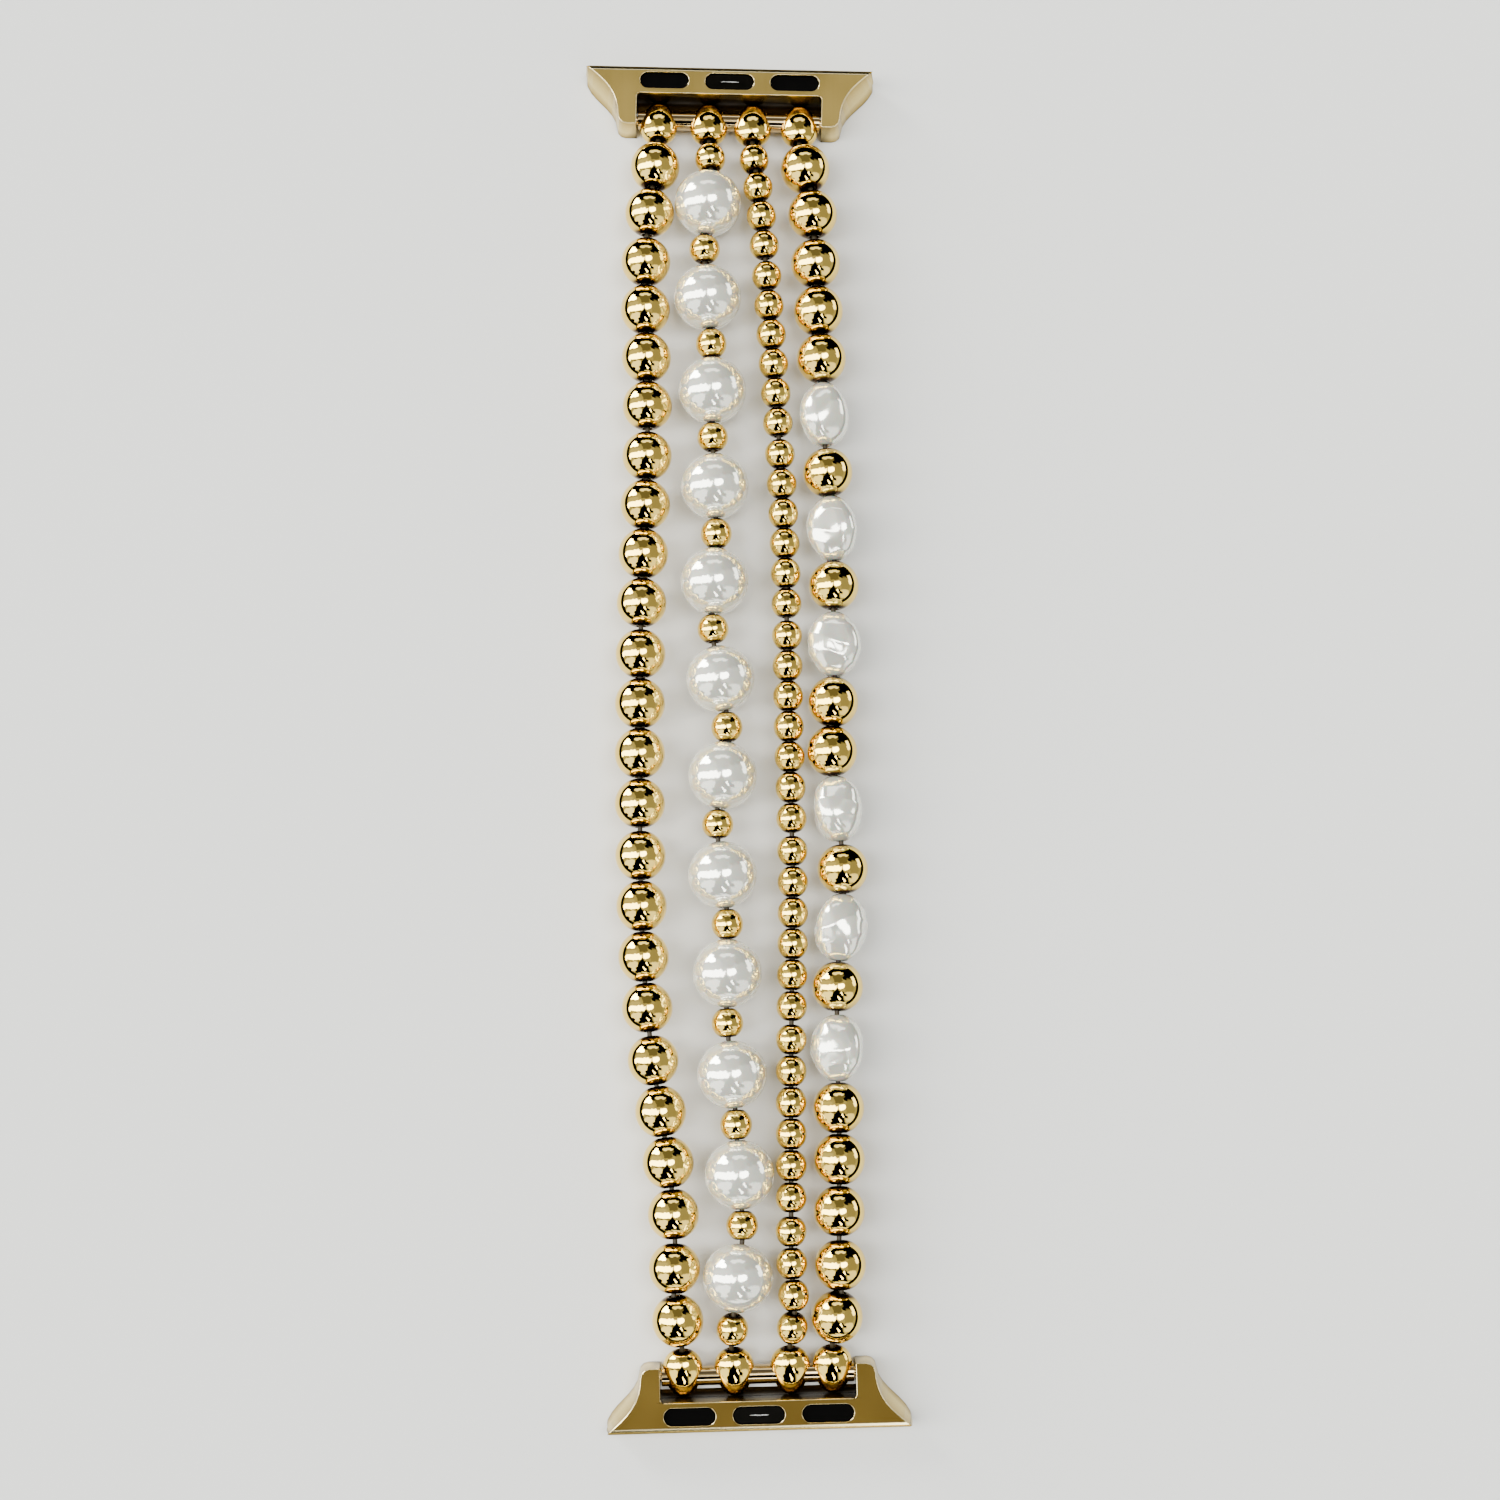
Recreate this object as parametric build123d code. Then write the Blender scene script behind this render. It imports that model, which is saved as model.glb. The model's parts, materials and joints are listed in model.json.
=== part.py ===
from build123d import *
import math
import os

# Four-strand bead watch band, lying flat with its skin side up.
# Millimetres and degrees. +Y runs to the top adapter, +X to the right, +Z up from the table.
# The origin is under the middle of the band.

# Overall layout
bar_to_bar = 128.6
adapter_offset = 1.5
top_adapter_turn = -1.3
bottom_adapter_turn = 1.6

# Adapter, measured from the axis of its cross bar: out to the rail, sideways, and up from the table
adapter_thickness = 3.3
rail_reach = 5.45
face_reach = 4.93
shoulder_reach = 5.38
shoulder_height = 3.06
blank_reach = 5.7
nose_height = 2.3
nose_foot = 4.4
skin_half_width = 15.4
table_half_width = 15.1
skin_ear_half = 11.55
table_ear_half = 11.75
skin_tip_reach = 0.85
table_tip_reach = 1.4
tip_round = 0.9
wing_steps = 9
ear_steps = 3
skin_wing_shares = ((0.57, 0.32), (0.96, 0.49))
table_wing_shares = ((-0.24, 0.44), (0.955, 0.6))
recess_width = 19.3
recess_wall = 2.5
recess_round = 0.4
cove_radius = 2.1
rail_corner_half = 15.3
rail_corner_round = 0.8

# Pockets for the rubber pads and the sprung latch, along the rail
pocket_pitch = 6.8
pocket_length = 5.1
pocket_width = 1.72
pocket_reach = 3.86
pad_pocket_depth = 1.3
pad_clearance = 0.04
pad_sink = 0.4
latch_floor = 0.8
latch_lip = 0.75
latch_cavity_length = 5.5
latch_cavity_width = 2.12
latch_clearance = 0.08
latch_flange = 0.55
latch_lip_gap = 0.03
latch_sink = 0.15
leaf_thickness = 0.15
leaf_width = 1.1
leaf_length = 4.3
leaf_gap = 0.03

# Spring bar
bar_height = 1.65
bar_radius = 0.95
bar_wall = 0.25
bar_end_gap = 0.15
bar_crimp = 0.3
tip_radius = 0.45
tip_clearance = 0.05
tip_flange_radius = 0.62
tip_flange_length = 0.7
tip_reach = 1.1
tip_travel = 1.15
tip_hole_depth = 1.35
tip_hole_sides = 12
spring_wall = 0.2
spring_clearance = 0.06
spring_sides = 8

# Beads: width across the hole, length along it
large_width = 5.1
large_length = 4.96
small_width = 3.1
small_length = 3.02
spacer_width = 3.2
spacer_length = 2.92
pearl_width = 7.0
pearl_length = 6.76
nugget_width = 5.3
nugget_height = 5.0
nugget_length = 6.65
large_hole = 0.5
small_hole = 0.45
least_gap = 0.03
bend_gap = 0.32

# Facets round each bead and steps from pole to pole
large_facets = (8, 6)
small_facets = (6, 4)
pearl_facets = (8, 6)
nugget_facets = (8, 6)

# End beads: cross-drilled drops that ride on the spring bar
end_bead_width = 4.0
end_bead_height = 3.16
end_bead_rear = 1.95
end_bead_front = 2.75
end_bead_clearance = 0.05
end_bead_facets = 8
end_bead_shares = ((-1.0, 0.3), (-0.7, 0.74), (0, 0.98), (0.5, 0.94), (1.0, 0.3))

# Elastic threads
elastic_radius = 0.25
elastic_knot_reach = 1.35
elastic_split = 0.12

# How the strands lie: seats on the two bars as shares of the recess width, then the threads' routes
# as shares of the way down and of the recess width
seat_shares = ((-0.379, -0.383), (-0.108, -0.12), (0.13, 0.166), (0.383, 0.383))
route_shares = (
    ((0.045, -0.474), (0.085, -0.507), (0.25, -0.507), (0.375, -0.53), (0.5, -0.54), (0.625, -0.53),
     (0.75, -0.474), (0.875, -0.354), (0.92, -0.346), (0.96, -0.343)),
    ((0.04, -0.178), (0.075, -0.188), (0.25, -0.156), (0.375, -0.143), (0.5, -0.112), (0.625, -0.1),
     (0.75, -0.062), (0.875, -0.02), (0.925, -0.022), (0.96, -0.036)),
    ((0.035, 0.058), (0.085, 0.1), (0.125, 0.122), (0.25, 0.183), (0.375, 0.225), (0.5, 0.24),
     (0.625, 0.26), (0.75, 0.25), (0.875, 0.248), (0.925, 0.253), (0.965, 0.258)),
    ((0.045, 0.343), (0.085, 0.376), (0.125, 0.388), (0.25, 0.432), (0.31, 0.456), (0.345, 0.49),
     (0.39, 0.47), (0.44, 0.494), (0.485, 0.466), (0.52, 0.466), (0.565, 0.484), (0.61, 0.528),
     (0.655, 0.51), (0.7, 0.49), (0.75, 0.487), (0.84, 0.497), (0.92, 0.498), (0.96, 0.492)),
)
spacer_shift_shares = (0.03, -0.06, 0.05, -0.05, 0.03, -0.15, 0.17, -0.16, 0.08, -0.06, 0.02, 0.1, -0.08)
lift_length = 6.0
nugget_middle = ("nugget", "large", "nugget", "large", "nugget", "large",
                 "large", "nugget", "large", "nugget", "large", "nugget")
nugget_lump_shares = ((0.05, 0.6, 0.04, 2.1), (0.04, 2.9, 0.05, 0.4), (0.06, 4.4, 0.03, 1.2),
                      (0.05, 1.7, 0.05, 3.3), (0.04, 5.3, 0.04, 4.6), (0.06, 3.6, 0.03, 5.5))

# Lines across the band where it bends, as shares of the way down
bend_shares = (0.11, 0.266, 0.42, 0.578, 0.734, 0.89)

strand_height = pearl_width / 2
cut_overrun = 1.0


def solid_from_rings(rings, triangles=False, closed_ends=False):
    """Join equal polygons into one solid: round again through the hole, or flat at both ends."""
    faces = [Face(Wire.make_polygon(ring, close=True)) for ring in (rings[0], rings[-1]) if closed_ends]
    onward = rings[1:] if closed_ends else rings[1:] + rings[:1]
    for near, far in zip(rings, onward):
        for i in range(len(near)):
            j = (i + 1) % len(near)
            if triangles:
                faces.append(Face(Wire.make_polygon([near[i], near[j], far[j]], close=True)))
                faces.append(Face(Wire.make_polygon([near[i], far[j], far[i]], close=True)))
            else:
                faces.append(Face(Wire.make_polygon([near[i], near[j], far[j], far[i]], close=True)))
    solid = Solid(Shell(faces))
    return solid if solid.volume > 0 else Solid(Shell([-face for face in faces]))


def bead_rings(width, height, length, hole, facets, swell=None):
    """Polygons from rim to rim along Y: an ellipse through the rim of the hole and the widest place."""
    sides, steps = facets
    rim = math.asin(2 * hole / width)
    pole = length / 2 / math.cos(rim)
    rings = []
    for step in range(steps + 1):
        lean = rim + (math.pi - 2 * rim) * step / steps
        ring = []
        for side in range(sides):
            turn = 2 * math.pi * side / sides
            grow = swell(lean, turn) if swell and 0 < step < steps else 1
            across = width / 2 * math.sin(lean) * grow
            up = (height / 2 if 0 < step < steps else width / 2) * math.sin(lean) * grow
            ring.append(Vector(across * math.cos(turn), -pole * math.cos(lean), up * math.sin(turn)))
        rings.append(ring)
    return rings


def round_bead(width, length, hole, facets):
    """A drilled round bead, its hole along Y."""
    return solid_from_rings(bead_rings(width, width, length, hole, facets))


def nugget(number):
    """A drilled freshwater-style pearl with soft lumps of its own."""
    deep, turn_a, deep_b, turn_b = nugget_lump_shares[number % len(nugget_lump_shares)]

    def swell(lean, turn):
        return 1 + deep * math.cos(2 * turn + turn_a + lean) + deep_b * math.cos(3 * turn - 2 * lean + turn_b)

    rings = bead_rings(nugget_width, nugget_height, nugget_length, large_hole, nugget_facets, swell)
    return solid_from_rings(rings, triangles=True)


def end_bead():
    """A drop on the bar: its thread hole points to the strand (-Y), the bar runs through it along X."""
    rings = []
    for along, wide in end_bead_shares:
        reach = end_bead_rear if along < 0 else end_bead_front
        ring = []
        for side in range(end_bead_facets):
            turn = 2 * math.pi * side / end_bead_facets
            ring.append(Vector(end_bead_width / 2 * wide * math.cos(turn), -along * reach,
                               end_bead_height / 2 * wide * math.sin(turn)))
        rings.append(ring)
    drop = solid_from_rings(rings, closed_ends=True)
    bar_bore = Rot(0, 90, 0) * Cylinder(bar_radius + end_bead_clearance, end_bead_width + 2 * cut_overrun)
    thread_hole = Rot(90, 0, 0) * extrude(RegularPolygon(large_hole, 6), end_bead_front + cut_overrun)
    return drop - bar_bore - thread_hole


def adapter_outline(height, half_width, ear_half, tip_reach_here, shares):
    """Plan of the adapter at one height: rail edge, wings that sweep in to the ears, rounded ear corners."""
    tip = -tip_reach_here
    ear_start = tip + tip_round
    inward = half_width - ear_half
    down = blank_reach - ear_start
    (in_1, down_1), (in_2, down_2) = shares
    wing = Bezier((half_width, blank_reach), (half_width - in_1 * inward, blank_reach - down_1 * down),
                  (half_width - in_2 * inward, blank_reach - down_2 * down), (ear_half, ear_start))
    corner = CenterArc((ear_half - tip_round, ear_start), tip_round, 0, -90)
    right = [wing.position_at(step / wing_steps) for step in range(wing_steps + 1)]
    right += [corner.position_at(step / ear_steps) for step in range(1, ear_steps + 1)]
    left = [Vector(-point.X, point.Y, 0) for point in reversed(right)]
    return [point + Vector(0, 0, height) for point in right + left]


def pocket_slot(margin, low, high):
    """An upright full-round slot of the pocket's size plus a margin, between two heights."""
    plan = SlotOverall(pocket_length + 2 * margin, pocket_width + 2 * margin)
    return Pos(0, pocket_reach, low) * extrude(plan, high - low)


def adapter_body():
    """Winged slide-in adapter with its recess, ears, nose and three pockets."""
    table_plan = adapter_outline(0, table_half_width, table_ear_half, table_tip_reach, table_wing_shares)
    skin_plan = adapter_outline(adapter_thickness, skin_half_width, skin_ear_half, skin_tip_reach,
                                skin_wing_shares)
    blank = solid_from_rings([table_plan, skin_plan], triangles=True, closed_ends=True)

    back = -table_tip_reach - cut_overrun
    with BuildSketch(Plane.YZ) as profile:
        with BuildLine():
            Line((back, 0), (nose_foot, 0))
            ThreePointArc((nose_foot, 0), (rail_reach, nose_height), (shoulder_reach, shoulder_height))
            Polyline((shoulder_reach, shoulder_height), (face_reach, adapter_thickness),
                     (back, adapter_thickness), (back, 0))
        make_face()
    nose = extrude(profile.sketch, skin_half_width + cut_overrun, both=True)

    rail_depth = rail_reach - back
    rail_block = Pos(0, rail_reach - rail_depth / 2, adapter_thickness / 2) * Box(
        2 * rail_corner_half, rail_depth, adapter_thickness)
    rail_corners = rail_block.edges().filter_by(Axis.Z).group_by(Axis.Y)[-1]
    body = blank & nose & fillet(rail_corners, rail_corner_round)

    top = adapter_thickness + cut_overrun
    recess_depth = recess_wall - back
    recess = Pos(0, recess_wall - recess_depth / 2, adapter_thickness / 2) * Box(
        recess_width, recess_depth, adapter_thickness + 2 * cut_overrun)
    inner_corners = recess.edges().filter_by(Axis.Z).group_by(Axis.Y)[-1]
    foot_lean = math.asin(bar_height / cove_radius)
    cove_foot, cove_middle = [(cove_radius * math.cos(lean), bar_height - cove_radius * math.sin(lean))
                              for lean in (foot_lean, foot_lean / 2)]
    cove_top = (cove_radius, bar_height)
    with BuildSketch(Plane.YZ) as cove:
        with BuildLine():
            ThreePointArc(cove_foot, cove_middle, cove_top)
            Polyline(cove_top, (recess_wall, adapter_thickness), (recess_wall, top), (back, top),
                     (back, -cut_overrun), (cove_foot[0], -cut_overrun), cove_foot)
        make_face()
    body -= fillet(inner_corners, recess_round) & extrude(cove.sketch, recess_width, both=True)

    tip_hole = extrude(RegularPolygon(tip_radius + tip_clearance, tip_hole_sides, major_radius=False),
                       tip_hole_depth / 2, both=True)
    for side in (-1, 1):
        body -= Pos(side * pocket_pitch, 0, 0) * pocket_slot(0, adapter_thickness - pad_pocket_depth, top)
        hole_middle = side * (recess_width + tip_hole_depth) / 2
        body -= Pos(hole_middle, 0, bar_height) * Rot(0, 90, 0) * tip_hole
    body -= pocket_slot(0, latch_floor, top)
    cavity_height = adapter_thickness - latch_lip - latch_floor
    cavity_middle = latch_floor + cavity_height / 2
    return body - Pos(0, pocket_reach, cavity_middle) * Box(
        latch_cavity_length, latch_cavity_width, cavity_height)


def rubber_pads():
    """Two pads that grip the rail, seated on the floors of their pockets."""
    low = adapter_thickness - pad_pocket_depth
    pad = pocket_slot(-pad_clearance, low, adapter_thickness - pad_sink)
    return [Pos(side * pocket_pitch, 0, 0) * pad for side in (-1, 1)]


def latch_button():
    """Sprung latch: a tongue in the middle slot with a flange held under the slot's lip."""
    flange_top = adapter_thickness - latch_lip - latch_lip_gap
    flange_low = flange_top - latch_flange
    tongue = pocket_slot(-latch_clearance, flange_low, adapter_thickness - latch_sink)
    flange = Box(latch_cavity_length - 2 * latch_clearance, latch_cavity_width - 2 * latch_clearance,
                 latch_flange)
    return tongue + Pos(0, pocket_reach, flange_low + latch_flange / 2) * flange


def latch_spring():
    """Bowed leaf under the latch, its feet on the cavity's floor."""
    flange_low = adapter_thickness - latch_lip - latch_lip_gap - latch_flange
    crown = flange_low - leaf_gap
    half = leaf_length / 2
    with BuildSketch(Plane.XZ) as strip:
        with BuildLine():
            ThreePointArc((-half, latch_floor), (0, crown), (half, latch_floor))
            Line((half, latch_floor), (half - leaf_thickness, latch_floor))
            ThreePointArc((half - leaf_thickness, latch_floor), (0, crown - leaf_thickness),
                          (leaf_thickness - half, latch_floor))
            Line((leaf_thickness - half, latch_floor), (-half, latch_floor))
        make_face()
    return Pos(0, pocket_reach, 0) * extrude(strip.sketch, leaf_width / 2, both=True)


def turned(points):
    """Revolve a profile of (along the bar, radius) points about the bar's axis."""
    with BuildSketch(Plane.XZ) as profile:
        with BuildLine():
            Polyline(*points, close=True)
        make_face()
    return Pos(0, 0, bar_height) * revolve(profile.sketch, Axis.X)


bar_half = recess_width / 2 - bar_end_gap
bar_bore = bar_radius - bar_wall
flange_face = bar_half - bar_crimp - latch_lip_gap


def bar_tube():
    """Tube of the spring bar, crimped in at both ends round its tips."""
    crimp_hole = tip_radius + tip_clearance
    crimp_face = bar_half - bar_crimp
    return turned([(-bar_half, bar_radius), (bar_half, bar_radius), (bar_half, crimp_hole),
                   (crimp_face, crimp_hole), (crimp_face, bar_bore), (-crimp_face, bar_bore),
                   (-crimp_face, crimp_hole), (-bar_half, crimp_hole)])


def bar_tip(side):
    """Flanged pin that springs out of one end of the bar into the ear."""
    flange_back = flange_face - tip_flange_length
    end = recess_width / 2 + tip_reach
    return turned([(side * flange_back, 0), (side * flange_back, tip_flange_radius),
                   (side * flange_face, tip_flange_radius), (side * flange_face, tip_radius),
                   (side * end, tip_radius), (side * end, 0)])


def bar_spring():
    """Coil spring between the two flanges, as a plain sleeve of its length when fully pressed."""
    half = flange_face - tip_flange_length - tip_travel - tip_clearance
    outer = bar_bore - spring_clearance
    coils = RegularPolygon(outer, spring_sides) - RegularPolygon(outer - spring_wall, spring_sides)
    return Pos(0, 0, bar_height) * Rot(0, 90, 0) * extrude(coils, half, both=True)


# The two adapters stand at the ends of the band, each with its own axis along its bar
top_place = Pos(-adapter_offset, bar_to_bar / 2, 0) * Rot(0, 0, top_adapter_turn)
bottom_place = Pos(adapter_offset, -bar_to_bar / 2, 0) * Rot(0, 0, 180 + bottom_adapter_turn)


def end_points(strand):
    """In plan, where a strand's end beads sit on the bars, and the front of each end bead."""
    top_share, bottom_share = seat_shares[strand]
    top_x = top_share * recess_width
    bottom_x = -bottom_share * recess_width
    return [(place * Pos(x, y, 0)).position
            for place, x, y in ((top_place, top_x, 0), (top_place, top_x, -end_bead_front),
                                (bottom_place, bottom_x, -end_bead_front), (bottom_place, bottom_x, 0))]


def strand_route(strand):
    """The thread's line in plan, from bar to bar, straight through the end beads."""
    top, top_front, bottom_front, bottom = [(point.X, point.Y) for point in end_points(strand)]
    middle = [(across * recess_width, bar_to_bar / 2 - along * bar_to_bar)
              for along, across in route_shares[strand]]
    return Spline(top, top_front, *middle, bottom_front, bottom)


def raised(point, seats):
    """Lift a plan point from the bars' height at a strand's seats to the height of the strands."""
    share = min(min((point - seat).length for seat in seats) / lift_length, 1)
    lift = (strand_height - bar_height) * (1 - math.cos(math.pi * share)) / 2
    return Vector(point.X, point.Y, bar_height + lift)


bead_lengths = {"large": large_length, "small": small_length, "spacer": spacer_length,
                "pearl": pearl_length, "nugget": nugget_length}


def strand_beads(strand, run):
    """Kinds of bead from top to bottom, as many as the run between the end beads holds."""
    room = run - (len(bend_shares) + 2) * bend_gap
    if strand == 0:
        return ["large"] * int(room / (large_length + least_gap))
    if strand == 1:
        pairs = int((room - spacer_length) / (pearl_length + spacer_length + 2 * least_gap))
        return ["spacer", "pearl"] * pairs + ["spacer"]
    if strand == 2:
        return ["small"] * int(room / (small_length + least_gap))
    middle_length = sum(bead_lengths[kind] + least_gap for kind in nugget_middle)
    ends = int((room - middle_length) / 2 / (large_length + least_gap))
    return ["large"] * ends + list(nugget_middle) + ["large"] * ends


def strand_layout(strand, lines):
    """Kinds of bead, the places of the gaps before and after each, and the gaps where it bends."""
    route = strand_route(strand)
    run = route.length - 2 * end_bead_front
    kinds = strand_beads(strand, run)
    lengths = [bead_lengths[kind] for kind in kinds]
    last = len(kinds)
    splits = []
    for _ in range(2):
        wide = {0, last} | set(splits)
        gap = (run - sum(lengths) - len(wide) * bend_gap) / (last + 1 - len(wide))
        distance = end_bead_front
        places = []
        for number in range(last + 1):
            here = bend_gap if number in wide else gap
            places.append(distance + here / 2)
            distance += here + (lengths[number] if number < last else 0)
        points = [route.position_at(place, position_mode=PositionMode.LENGTH) for place in places]
        down = [bar_to_bar / 2 - point.Y for point in points]
        splits = [min(range(1, last), key=lambda number: abs(down[number] - line - least_gap))
                  for line in lines]
    return kinds, points, splits


def shifted(kinds, points):
    """Set the gaps round each spacer a little off the line, as the small beads lie between pearls."""
    moved = list(points)
    for number, kind in enumerate(kinds):
        if kind == "spacer":
            share = spacer_shift_shares[number // 2 % len(spacer_shift_shares)]
            step = Vector(share * spacer_width, 0, 0)
            moved[number] += step
            moved[number + 1] += step
    return moved


# The band bends across its width at a gold spacer of the pearl strand
spacer_kinds, spacer_gaps, _ = strand_layout(1, [])
spacer_lines = [bar_to_bar / 2 - (spacer_gaps[n].Y + spacer_gaps[n + 1].Y) / 2
                for n, kind in enumerate(spacer_kinds) if kind == "spacer"]
bend_lines = [min(spacer_lines, key=lambda y: abs(y - share * bar_to_bar)) for share in bend_shares]

bead_shapes = {
    "large": round_bead(large_width, large_length, large_hole, large_facets),
    "small": round_bead(small_width, small_length, small_hole, small_facets),
    "spacer": round_bead(spacer_width, spacer_length, large_hole, small_facets),
    "pearl": round_bead(pearl_width, pearl_length, large_hole, pearl_facets),
}
node_of_kind = {"large": "large_gold_beads", "small": "small_gold_beads", "spacer": "gold_spacers",
                "pearl": "round_pearls", "nugget": "nugget_pearls"}

nodes = {}


def add(node, shape):
    nodes.setdefault(node, []).append(shape)


def along_chord(upper, lower):
    """Place for a bead on its thread: centre half way between two points, +Y towards the upper one."""
    run = upper - lower
    turn = math.degrees(math.atan2(-run.X, run.Y))
    tilt = math.degrees(math.atan2(run.Z, math.hypot(run.X, run.Y)))
    middle = (upper + lower) / 2
    return Pos(middle.X, middle.Y, middle.Z) * Rot(0, 0, turn) * Rot(tilt, 0, 0)


def thread(points):
    """Elastic thread as a square tube, mitred at each point and cut square at both ends."""
    runs = [(far - near).normalized() for near, far in zip(points, points[1:])]
    side = runs[0].cross(Vector(0, 0, 1)).normalized() * elastic_radius
    up = side.cross(runs[0]).normalized() * elastic_radius
    ring = [points[0] + corner for corner in (side, up, -side, -up)]
    rings = [ring]
    for number, run in enumerate(runs):
        onward = runs[min(number + 1, len(runs) - 1)]
        mitre = run + onward
        ring = [corner + run * ((points[number + 1] - corner).dot(mitre) / run.dot(mitre)) for corner in ring]
        rings.append(ring)
    return solid_from_rings(rings, closed_ends=True)


def string_strand(strand):
    """Run one strand's thread from end bead to end bead, section by section, and set its beads on it."""
    kinds, points, splits = strand_layout(strand, bend_lines)
    ends = [end_points(strand)[0], end_points(strand)[-1]]
    gaps = [raised(point, ends) for point in shifted(kinds, points)]
    seats = [raised(point, ends) for point in ends]
    nuggets = 0
    for number, kind in enumerate(kinds):
        section = 1 + sum(number >= split for split in splits)
        shape = nugget(nuggets) if kind == "nugget" else bead_shapes[kind]
        nuggets += kind == "nugget"
        add(f"{node_of_kind[kind]}_{section}", along_chord(gaps[number], gaps[number + 1]) * shape)

    for end, seat, front in (("top", seats[0], gaps[0]), ("bottom", seats[1], gaps[-1])):
        tilt = math.degrees(math.asin((front.Z - seat.Z) / (front - seat).length))
        turn = top_adapter_turn if end == "top" else 180 + bottom_adapter_turn
        place = Pos(seat.X, seat.Y, seat.Z) * Rot(0, 0, turn) * Rot(-tilt, 0, 0)
        add(f"{end}_end_beads", place * drop)

    knots = [seat + (front - seat).normalized() * elastic_knot_reach
             for seat, front in ((seats[0], gaps[0]), (seats[1], gaps[-1]))]
    corners = [knots[0]] + gaps + [knots[1]]
    cuts = [0] + [split + 1 for split in splits] + [len(corners) - 1]
    for section, (first, last) in enumerate(zip(cuts, cuts[1:]), 1):
        line = corners[first:last + 1]
        if first > 0:
            line[0] = line[0] + (line[1] - line[0]).normalized() * elastic_split
        if last < len(corners) - 1:
            line[-1] = line[-1] + (line[-2] - line[-1]).normalized() * elastic_split
        add(f"elastic_threads_{section}", thread(line))


drop = end_bead()
for strand in range(len(route_shares)):
    string_strand(strand)

adapter_pieces = {
    "adapter_body": [adapter_body()],
    "rubber_pads": rubber_pads(),
    "latch_button": [latch_button()],
    "latch_spring": [latch_spring()],
    "bar_tube": [bar_tube()],
    "bar_tip_left": [bar_tip(-1)],
    "bar_tip_right": [bar_tip(1)],
    "bar_spring": [bar_spring()],
}
for end, place in (("top", top_place), ("bottom", bottom_place)):
    for name, shapes in adapter_pieces.items():
        for shape in shapes:
            add(f"{end}_{name}", place * shape)

# Bring the middle of the whole band over the origin
whole = Compound([shape for shapes in nodes.values() for shape in shapes]).bounding_box()
centred = Pos(-whole.center().X, -whole.center().Y, 0)

os.makedirs("parts", exist_ok=True)
for node, shapes in nodes.items():
    placed = [centred * shape for shape in shapes]
    export_step(placed[0] if len(placed) == 1 else Compound(placed), f"parts/{node}.step")

middle = centred.position
print("nodes", len(nodes), "size", whole.size)
print("bend lines at y", [round(bar_to_bar / 2 - line + middle.Y, 4) for line in bend_lines])
print("bar middles", [tuple((centred * place * Pos(0, 0, bar_height)).position)
                      for place in (top_place, bottom_place)])
print("rail edges", [tuple((centred * place * Pos(0, rail_reach, nose_height)).position)
                     for place in (top_place, bottom_place)])
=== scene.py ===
import json
import math

import bmesh
import bpy
import numpy as np
from mathutils import Matrix, Vector

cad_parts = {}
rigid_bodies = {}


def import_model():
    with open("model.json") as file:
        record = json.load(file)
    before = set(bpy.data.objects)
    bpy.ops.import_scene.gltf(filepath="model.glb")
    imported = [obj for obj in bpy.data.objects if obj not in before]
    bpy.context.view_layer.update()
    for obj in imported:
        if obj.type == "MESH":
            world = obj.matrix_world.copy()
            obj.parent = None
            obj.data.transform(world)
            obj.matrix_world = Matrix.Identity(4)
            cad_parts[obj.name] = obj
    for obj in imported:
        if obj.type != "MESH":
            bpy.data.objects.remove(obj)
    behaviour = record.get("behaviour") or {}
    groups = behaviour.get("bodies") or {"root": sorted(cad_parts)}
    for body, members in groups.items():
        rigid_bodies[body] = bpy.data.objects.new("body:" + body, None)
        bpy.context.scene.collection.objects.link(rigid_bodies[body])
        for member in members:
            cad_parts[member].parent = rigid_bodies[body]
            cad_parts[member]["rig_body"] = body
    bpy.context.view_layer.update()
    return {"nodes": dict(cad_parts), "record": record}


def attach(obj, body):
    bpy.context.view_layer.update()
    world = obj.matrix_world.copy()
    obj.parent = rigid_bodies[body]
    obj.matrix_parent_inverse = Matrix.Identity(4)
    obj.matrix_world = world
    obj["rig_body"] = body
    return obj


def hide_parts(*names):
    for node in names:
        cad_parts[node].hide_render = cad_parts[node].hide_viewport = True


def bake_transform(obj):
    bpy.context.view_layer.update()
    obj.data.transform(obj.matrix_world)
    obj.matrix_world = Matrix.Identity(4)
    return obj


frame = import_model()
scene = bpy.context.scene
mm = 0.001
print("frame loaded:", len(frame["nodes"]), "nodes")


def placed(name, data):
    # a new object in the scene, at the origin
    made = bpy.data.objects.new(name, data)
    scene.collection.objects.link(made)
    return made


# Camera

view = {
    "from": (0.593, -44.07, 300.63),     # millimetres, a little in front of the band and above it
    "towards": (0.593, -2.32, 3.55),
    "lens": 71.28, "sensor": 36, "clip": (0.01, 10),
}


def makeCamera():
    data = bpy.data.cameras.new("camera")
    data.lens = view["lens"]
    data.sensor_width = view["sensor"]
    data.clip_start, data.clip_end = view["clip"]
    camera = placed("camera", data)
    place = Vector(view["from"]) * mm
    look = Vector(view["towards"]) * mm - place
    side = look.cross(Vector((0, 1, 0))).normalized()
    up = side.cross(look).normalized()
    turned = Matrix((side, up, -look.normalized())).transposed().to_4x4()
    camera.matrix_world = Matrix.Translation(place) @ turned
    scene.camera = camera


makeCamera()
print("camera placed")


# Shader maths

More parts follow.
